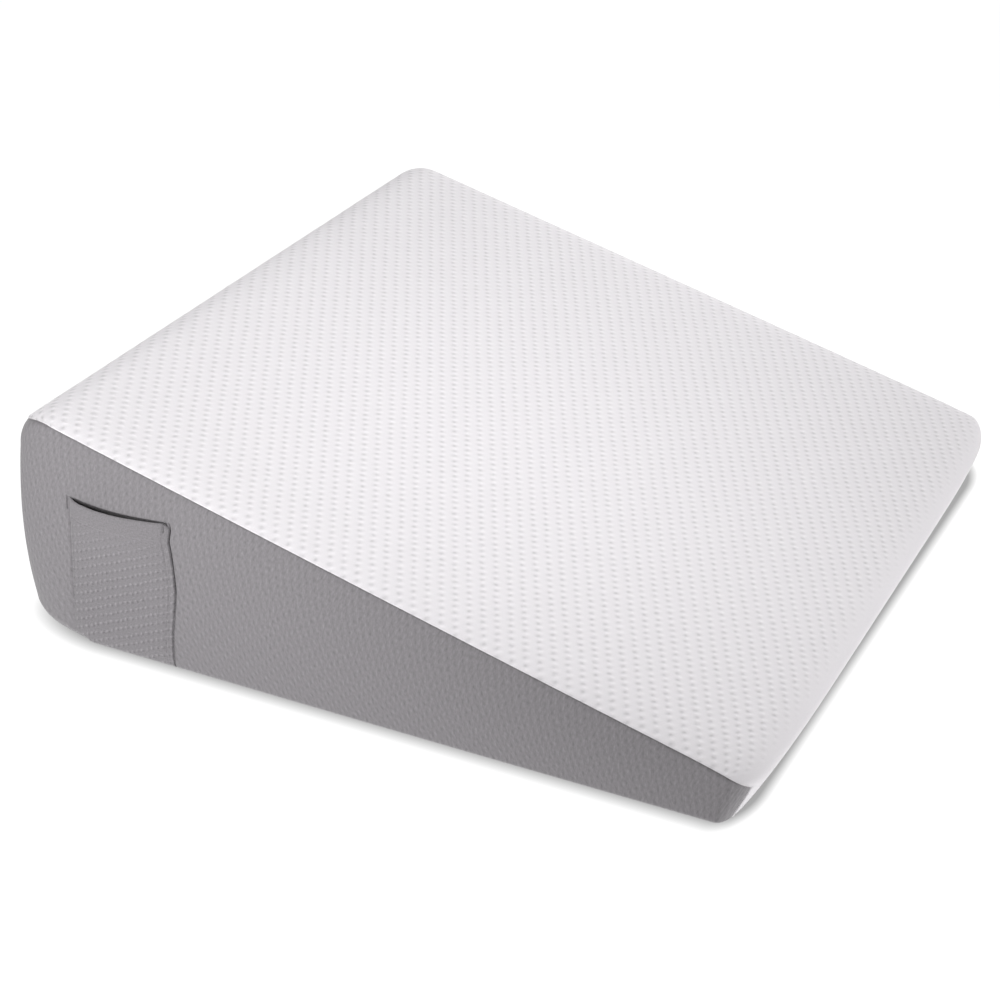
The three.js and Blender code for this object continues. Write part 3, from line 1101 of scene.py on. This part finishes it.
@dataclass
class PatchPocket:
    """The open patch pocket: one sheet with a turned hem, a folded free edge and a gaping mouth.

    Attributes:
        wall: The side panel's form under it.
        line: Where it lies.
        flat: Width and length of its cloth, with the hem.
        cloth: How far its face stands off the panel.
        sheet: Thickness of its cloth.
        thinned: Share of the stand-off left at the free edge, and where it is whole again.
        held_rise: Distance over which the cloth rises from the held edge, and how fast.
        held_press: Depth and half width of the seam pressed in along the held edge.
        fold: Height, width and ease of the fold along the free edge.
        groove: Depth, place and half width of the groove that its stitches press in.
        edge_roll: Radius of the free edge's roll, and how far the edge goes under.
        hem_fold: Extra thickness of the hem, and the distance over which it starts.
        hem_seam: Depth and half width of the hem's seam.
        hem_seam_ends: Share of the width where that seam ends, and over what share.
        hem_ends: Distance from both edges over which the hem fades.
        gape: How far the mouth stands open, how far down, and how it leans to the held edge.
        foot_rise: Distance over which the cloth rises from the base seam.
        foot_press: Share of the stand-off left at the base, and where it is whole again.
        pucker: Height and length of the shallow waves across the pocket.
        foot_gap: Distance of the pocket's foot from the base seam.
        corner_gap: The same at the held corner, and the share of the width where it ends.
        corner: Radius of the free corner at the mouth, and how far it is drawn in.
        edge: Distance over which the sheet thins to both edges, and its thickness there.
        rim: Height of the round top of the hem.
        half_way: Height at which its width is first read.
    """

    wall: Wall
    line: PocketLine = field(default_factory=PocketLine)
    flat: tuple[float, float] = (84 * MM, 131 * MM)
    cloth: float = 1.7 * MM
    sheet: float = 1.3 * MM
    thinned: tuple[float, float] = (0.7, 14.0 * MM)
    held_rise: tuple[float, float] = (9.0 * MM, 0.8)
    held_press: tuple[float, float] = (0.7 * MM, 0.8 * MM)
    fold: tuple[float, float, float] = (0.35 * MM, 5.2 * MM, 1.6 * MM)
    groove: tuple[float, float, float] = (0.55 * MM, 4.8 * MM, 0.6 * MM)
    edge_roll: tuple[float, float] = (0.5 * MM, 0.6 * MM)
    hem_fold: tuple[float, float] = (0.5 * MM, 0.8 * MM)
    hem_seam: tuple[float, float] = (0.4 * MM, 0.6 * MM)
    hem_seam_ends: tuple[float, float] = (0.5, 0.35)
    hem_ends: float = 3 * MM
    gape: tuple[float, float, float] = (4.2 * MM, 62.0 * MM, 0.75)
    foot_rise: float = 9 * MM
    foot_press: tuple[float, float] = (0.1, 16 * MM)
    pucker: tuple[float, float] = (0.25 * MM, 8.5 * MM)
    foot_gap: float = 0.6 * MM
    corner_gap: tuple[float, float] = (2.6 * MM, 0.3)
    corner: tuple[float, float] = (2.2 * MM, 0.9 * MM)
    edge: tuple[float, float] = (2.4 * MM, 0.25 * MM)
    rim: float = 1.0 * MM
    half_way: float = 60 * MM

    def grid(self) -> list[np.ndarray]:
        """Shares of the pocket's width and height, closer together at its edges and its hem."""
        width = self.flat[0]
        first, last = 4 * MM, width - 9 * MM
        shares = bands((0, first, 11), (first, last, 46), (last, width, 31)) / width
        levels = bands((0, 0.84, 64), (0.84, 1, 40))
        return np.meshgrid(shares, levels, indexing="ij")

    def turned(self, below: np.ndarray) -> np.ndarray:
        """Extra thickness where the hem is turned in, at a distance below the mouth."""
        extra, ease = self.hem_fold
        return extra * smooth((self.line.hem - below) / ease)

    def stand_off(self, share: np.ndarray, below: np.ndarray, above: np.ndarray) -> np.ndarray:
        """How far the pocket's outer face stands off the side panel's form.

        Args:
            share: Share of the width from the held edge to the free one.
            below: Distance below the mouth.
            above: Distance above the pocket's foot.

        Returns:
            The distance at each place.
        """
        held, free = share * self.flat[0], (1 - share) * self.flat[0]
        left, reach = self.thinned
        rise, power = self.held_rise
        height = self.cloth * mix(left, 1.0, smooth(free / reach)) * smooth(held / rise) ** power
        depth, reach = self.held_press
        height = height - depth * hump(held, reach)
        fold, width, ease = self.fold
        depth, place, reach = self.groove
        height = height + fold * smooth((width - free) / ease) - depth * hump(free - place, reach)
        radius, under = self.edge_roll
        roll = quarter(free / radius)
        height = (height * roll - under * (1 - roll)) * np.sqrt(
            smooth((self.line.mouth - below) / self.foot_rise)
        )
        depth, reach = self.hem_seam
        end, ease = self.hem_seam_ends
        seam = -depth * hump(below - self.line.hem, reach) * smooth((end - share) / ease)
        inside = smooth(held / self.hem_ends) * smooth(free / self.hem_ends)
        wave, length = self.pucker
        pucker = wave * np.sin(below / length) * np.sin(math.pi * share) ** 2
        height = height + (self.turned(below) + seam) * inside + pucker
        gape, down, lean = self.gape
        opening = gape * smooth(1 - below / down) * np.sin(math.pi * share**lean)
        pressed, reach = self.foot_press
        return height * mix(pressed, 1.0, smooth(above / reach)) + opening

    def build(self) -> bpy.types.Object:
        """Makes the pocket's cloth as one closed sheet."""
        share, level = self.grid()
        line, width = self.line, self.flat[0]
        guess = mix(line.left, line.right_at(np.array(self.half_way)), share)
        corner_gap, corner_end = self.corner_gap
        gap = mix(corner_gap, self.foot_gap, smooth(share / corner_end))
        mouth, foot = line.mouth_at(guess), self.wall.foot(guess) + gap
        z = mix(foot, mouth, level)
        x = mix(line.left, line.right_at(z), share)
        radius, drawn = self.corner
        corner = drawn * hump(np.hypot((1 - share) * width, mouth - z), radius)
        x, z = x - corner, z - corner
        below = mouth - z
        away = np.array([0.0, -1.0, 0.0])
        lift = self.stand_off(share, below, z - foot)
        outer = self.wall.points(x, z) + away * lift[..., None]
        reach, least = self.edge
        thin = smooth(share * width / reach) * smooth((1 - share) * width / reach)
        thick = (self.sheet + self.turned(below)) * thin + least
        # The hem's top is folded over, so it is round: both faces close in on its middle.
        closing = 0.5 * thick * (1 - quarter(below / self.rim))
        inner = outer - away * (thick - RIM_CLOSING * closing)[..., None]
        outer = outer - away * closing[..., None]
        origin = self.wall.form.origin
        shell = sheet_shell(outer + origin, inner + origin, np.stack([x, z], -1), False)
        return shell.mesh("patch_pocket")

    def declare(self, piece: bpy.types.Object) -> None:
        """Hides the solid that the pocket stands for."""
        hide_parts("pocket")


Stitch = tuple[np.ndarray, np.ndarray]


@dataclass
class PocketSewing:
    """The pocket's stitches: one row on the free edge's fold, a short one over it, two bartacks.

    Attributes:
        pocket: The pocket.
        radius: Radius of the thread.
        stitch: Length of a stitch in a row.
        gap: Distance between two stitches.
        sunk: How far the thread lies in the cloth.
        inset: Distance of the fold's row from the free edge.
        row_ends: How far below the mouth and above the base that row ends.
        upper_row: Where the short row starts and ends, from the free corner.
        tacks: Place of both bartacks' tops from the pocket's corners, and their length.
        tack_width: Width of a bartack.
        tack_steps: Distance between its stitches, how far each leans, and its height.
        stations: Places along a stitch, and its thickness at each.
        sides: Number of sides of a thread.
    """

    pocket: PatchPocket
    radius: float = 0.22 * MM
    stitch: float = 2.5 * MM
    gap: float = 0.7 * MM
    sunk: float = 0.12 * MM
    inset: float = 4.4 * MM
    row_ends: tuple[float, float] = (2 * MM, 12 * MM)
    upper_row: tuple[tuple[float, float], ...] = ((-2.2 * MM, 9.5 * MM), (-2.4 * MM, 2.5 * MM))
    tacks: tuple[tuple[float, float, float], ...] = (
        (-2.0 * MM, 0.5 * MM, 10.5 * MM),
        (-3.9 * MM, 1.5 * MM, 8.5 * MM),
    )
    tack_width: float = 1.3 * MM
    tack_steps: tuple[float, float, float] = (0.55 * MM, 0.28 * MM, 0.25 * MM)
    stations: tuple[tuple[float, float], ...] = (
        *((0.0, 0.35), (0.12, 0.85), (0.5, 1.0)),
        *((0.88, 0.85), (1.0, 0.35)),
    )
    sides: int = 6

    def place(self, x: float, z: float, lift: float = 0.0) -> np.ndarray:
        """Point on the pocket's outer face, or on the side panel above it."""
        line, wall = self.pocket.line, self.pocket.wall
        spot_x, spot_z = np.array(x), np.array(z)
        share = (spot_x - line.left) / (line.right_at(spot_z) - line.left)
        below = line.mouth_at(spot_x) - z
        if below >= 0 and 0 <= share <= 1:
            lift = lift + float(self.pocket.stand_off(share, below, spot_z - wall.foot(spot_x)))
        return wall.points(spot_x[None], spot_z[None])[0] - np.array(INWARDS) * lift

    def row(self, start: tuple[float, float], end: tuple[float, float]) -> list[Stitch]:
        """Stitches along a straight line on the pocket's face.

        Args:
            start: Where the row starts, on the side's x and z.
            end: Where it ends.

        Returns:
            The ends of each stitch.
        """
        first, last = np.array(start), np.array(end)
        pitch = self.stitch + self.gap
        count = max(1, int(np.linalg.norm(last - first) / pitch))
        ends = []
        for number in range(count):
            parts = (number / count, (number + self.stitch / pitch) / count)
            ends.append(tuple(self.place(*mix(first, last, part)) for part in parts))
        return ends

    def fold_row(self) -> list[Stitch]:
        """Stitches down the free edge's fold, which follow the edge."""
        line = self.pocket.line
        below, above = self.row_ends
        ends = []
        z = line.mouth - below
        while z > above:
            heights = (z, z - self.stitch)
            places = (float(line.right_at(np.array(height))) - self.inset for height in heights)
            ends.append(tuple(self.place(x, height) for x, height in zip(places, heights)))
            z = heights[1] - self.gap
        return ends

    def bartack(self, x: float, top: float, length: float) -> list[Stitch]:
        """Close zigzag stitches over a pocket corner.

        Args:
            x: Middle of the bartack.
            top: Height of its top.
            length: Its length downwards.

        Returns:
            The ends of each stitch.
        """
        step, lean, lift = self.tack_steps
        ends = []
        for number in range(int(length / step)):
            z = top - number * step
            a = self.place(x - self.tack_width / 2, z, lift)
            b = self.place(x + self.tack_width / 2, z - lean, lift)
            a[1] = b[1] = min(a[1], b[1])
            ends.append((a, b))
        return ends

    def thread(self, start: np.ndarray, end: np.ndarray) -> list[np.ndarray]:
        """Points of one stitch: rings round it, its middle raised and its ends in the cloth."""
        inwards = np.array(INWARDS)
        way = (end - start) / np.linalg.norm(end - start)
        side = np.cross(way, inwards)
        side = side / np.linalg.norm(side)
        out = np.cross(side, way)
        angles = np.linspace(0, math.tau, self.sides + 1)[:-1]
        points = []
        for share, size in self.stations:
            rise = self.radius * math.sin(math.pi * share) - self.sunk
            middle = mix(start, end, share) - inwards * rise
            around = (math.cos(angle) * side + math.sin(angle) * out for angle in angles)
            points += [middle + self.radius * size * spoke for spoke in around]
        return points

    def build(self) -> bpy.types.Object:
        """Makes every stitch as a short rounded run of thread."""
        line, count = self.pocket.line, self.sides
        right = float(line.right_at(np.array(line.mouth - 4 * MM)))
        runs = self.fold_row()
        runs += self.row(*((right + x, line.mouth + z) for x, z in self.upper_row))
        for corner, (x, z, length) in zip((line.left, right), self.tacks, strict=True):
            runs += self.bartack(corner + x, line.mouth + z, length)
        points: list[np.ndarray] = []
        faces: list[tuple[int, ...]] = []
        for start, end in runs:
            first = len(points)
            points += self.thread(start, end)
            last = len(points) - count
            for ring in range(first, last, count):
                for number in range(count):
                    a, b = ring + number, ring + (number + 1) % count
                    faces.append((a, b, b + count, a + count))
            faces.append(tuple(range(first + count - 1, first - 1, -1)))
            faces.append(tuple(range(last, last + count)))
        origin = self.pocket.wall.form.origin
        data = bpy.data.meshes.new("pocket_stitching")
        data.from_pydata([tuple(point + origin) for point in points], [], faces)
        data.shade_smooth()
        return add_object("pocket_stitching", data)


@dataclass(frozen=True)
class SoftBox:
    """A square soft box.

    Attributes:
        name: Its name.
        place: Where it stands.
        aim: What it looks at.
        side: Length of its side.
        power: Power in watts.
    """

    name: str
    place: tuple[float, float, float]
    aim: tuple[float, float, float]
    side: float
    power: float

    def build(self) -> None:
        """Adds the light."""
        data = bpy.data.lights.new(self.name, "AREA")
        data.shape, data.size, data.energy = "SQUARE", self.side, self.power
        light = add_object(self.name, data)
        light.location = self.place
        way = Vector(self.aim) - Vector(self.place)
        light.rotation_euler = way.to_track_quat("-Z", "Y").to_euler()


SOFT_BOXES = (
    SoftBox("low_right_fill", (1.5, 0.1, 0.12), (0.25, 0.0, 0.05), 0.4, 9.1),
    SoftBox("overhead", (0.0, 0.0, 1.4), (0.0, 0.0, 0.1), 0.9, 5.7),
    SoftBox("back_light_close", (0.0, 1.0, 0.5), (0.0, 0.0, 0.1), 0.6, 4.3),
    SoftBox("back_light", (0.3, 1.5, 1.2), (0.0, 0.0, 0.1), 0.9, 3.2),
    SoftBox("left_back_light", (-1.2, 0.7, 0.5), (0.0, 0.0, 0.1), 0.6, 3.0),
    SoftBox("front_fill", (-0.2, -0.85, 0.3), (-0.2, -0.3, 0.08), 0.3, 3.0),
    SoftBox("overhead_close", (-0.05, -0.1, 0.8), (-0.05, -0.1, 0.1), 0.4, 1.6),
    SoftBox("overhead_ridge", (0.2, -0.15, 0.55), (0.15, -0.15, 0.1), 0.25, 0.5),
)


@dataclass
class Studio:
    """A pale table in soft light, and the camera at the photograph's angle.

    Attributes:
        azimuth: Where the camera stands round the pillow, in degrees.
        elevation: How high it stands, in degrees.
        roll: How far it is rolled, in degrees.
        focal_pixels: Its focal length in pixels of the image.
        image: Width of the image in pixels.
        sensor: Width of its sensor in millimetres.
        off_axis: Its place from the form's near back corner, on its own axes.
        floor_size: Length of the table's side.
        foot_low: Low corner of the pillow's foot on the table.
        foot_high: High corner of the foot.
        shade_low: Reach of the foot's painted shadow past the low corner.
        shade_high: Reach of the painted shadow past the high corner.
        shade_ends: Where the painted shadow starts and ends, in those reaches.
        glow: The table's own light under the painted shadow and clear of it.
        table_turn: How far the table, with its painted shadow, is turned from the pillow's axes.
    """

    azimuth: float = 23.063
    elevation: float = 26.994
    roll: float = 2.720
    focal_pixels: float = 2429.8
    image: float = 1000.0
    sensor: float = 36.0
    off_axis: tuple[float, float, float] = (347.97 * MM, 94.04 * MM, 1740.36 * MM)
    floor_size: float = 40.0
    foot_low: tuple[float, float, float] = (-0.203, -0.2438, -1.0)
    foot_high: tuple[float, float, float] = (0.2492, 0.266, 1.0)
    shade_low: tuple[float, float, float] = (25 * MM, 17 * MM, 1.0)
    shade_high: tuple[float, float, float] = (8 * MM, 17 * MM, 1.0)
    shade_ends: tuple[float, float] = (2.6, 3.55)
    glow: tuple[float, float] = (0.35, 1.0)
    table_turn: float = math.radians(-0.5)

    def camera(self, form: WedgeForm) -> None:
        """Sets the camera."""
        azimuth, elevation, roll = map(math.radians, (self.azimuth, self.elevation, self.roll))
        level = Vector((math.cos(azimuth), math.sin(azimuth), 0))
        towards = Vector((math.sin(azimuth), -math.cos(azimuth), 0))
        back = towards * math.cos(elevation) + Vector((0, 0, math.sin(elevation)))
        upward = back.cross(level)
        right = level * math.cos(roll) + upward * math.sin(roll)
        up = upward * math.cos(roll) - level * math.sin(roll)
        x, y, z = self.off_axis
        corner = Vector(form.origin) - Vector((0, form.width / 2, 0))
        data = bpy.data.cameras.new("camera")
        data.sensor_width = self.sensor
        data.lens = self.focal_pixels / self.image * self.sensor
        data.clip_start, data.clip_end = 0.05, 100
        camera = add_object("camera", data)
        turn = Matrix((right, up, back)).transposed().to_4x4()
        camera.matrix_world = Matrix.Translation(corner + right * x + up * y + back * z) @ turn
        bpy.context.scene.camera = camera

    def table_material(self) -> bpy.types.Material:
        """Makes the table's material."""
        bench = NodeBench("pale_acrylic_table")
        place = bench.node("ShaderNodeTexCoord").outputs["Object"]
        past = []
        for start, reach, sign in (
            (self.foot_high, self.shade_high, 1.0),
            (self.foot_low, self.shade_low, -1.0),
        ):
            offset = bench.vector("SUBTRACT", place, start)
            scaled = bench.vector("MULTIPLY", offset, tuple(sign / part for part in reach))
            past.append(bench.vector("MAXIMUM", scaled, (0.0, 0.0, 0.0)))
        away = bench.vector("LENGTH", bench.vector("ADD", *past), result="Value")
        # A sheet of opal acrylic lit from below, as product photographs have. The eye sees an even
        # pure white ground that the lamps above hardly change. Its glow is turned down to a narrow
        # soft grey round the pillow's foot: a painted shadow of the pillow on the table.
        return bench.surface(
            Base_Color=linear("#5a5a5a"),
            Roughness=1.0,
            Specular_IOR_Level=0.0,
            Emission_Color=linear("#ffffff"),
            Emission_Strength=bench.ramp(away, self.shade_ends, self.glow),
        )

    def table(self) -> None:
        """Makes the table top."""
        half = self.floor_size / 2
        corners = [(-half, -half, 0), (half, -half, 0), (half, half, 0), (-half, half, 0)]
        data = bpy.data.meshes.new("table_top")
        data.from_pydata(corners, [], [(0, 1, 2, 3)])
        data.materials.append(self.table_material())
        table = add_object("table_top", data)
        table.rotation_euler.z = self.table_turn

    def lights(self) -> None:
        """Darkens the room and sets up the soft boxes."""
        world = bpy.data.worlds.new("room")
        world.use_nodes = True
        world.node_tree.nodes["Background"].inputs["Strength"].default_value = 0.0
        bpy.context.scene.world = world
        for box in SOFT_BOXES:
            box.build()


def main() -> None:
    """Builds the pillow's pieces in order and sets the studio round it."""
    logging.basicConfig(level=logging.INFO, format="%(name)s: %(message)s")
    bpy.context.scene.view_settings.view_transform = "Standard"
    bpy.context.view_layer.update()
    form = WedgeForm()
    studio = Studio()
    studio.camera(form)
    white, grey, across = (knit.material() for knit in (WHITE_KNIT, GREY_KNIT, POCKET_KNIT))
    body = FilledBody(form, PocketLine()).build()
    dress(body, white)
    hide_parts("filled_body")
    panels = (
        PocketSide(form, Face.NEAR, "side_panel_pocket", (0.575, 0.175), 0.062),
        Panel(form, Face.FAR, "side_panel_plain", (0.575, 0.175), 0.062),
        Panel(form, Face.BACK, "back_panel", (0.60, 0.165), 0.092),
        Panel(form, Face.BASE, "base_panel", (0.55, 0.62), 0.326),
    )
    for panel in panels:
        piece = panel.build()
        dress(piece, grey)
        panel.declare(piece)
    pocket = PatchPocket(Wall(form))
    piece = pocket.build()
    dress(piece, across)
    pocket.declare(piece)
    dress(PocketSewing(pocket).build(), Thread().material())
    studio.table()
    studio.lights()


if __name__ == "__main__":
    main()
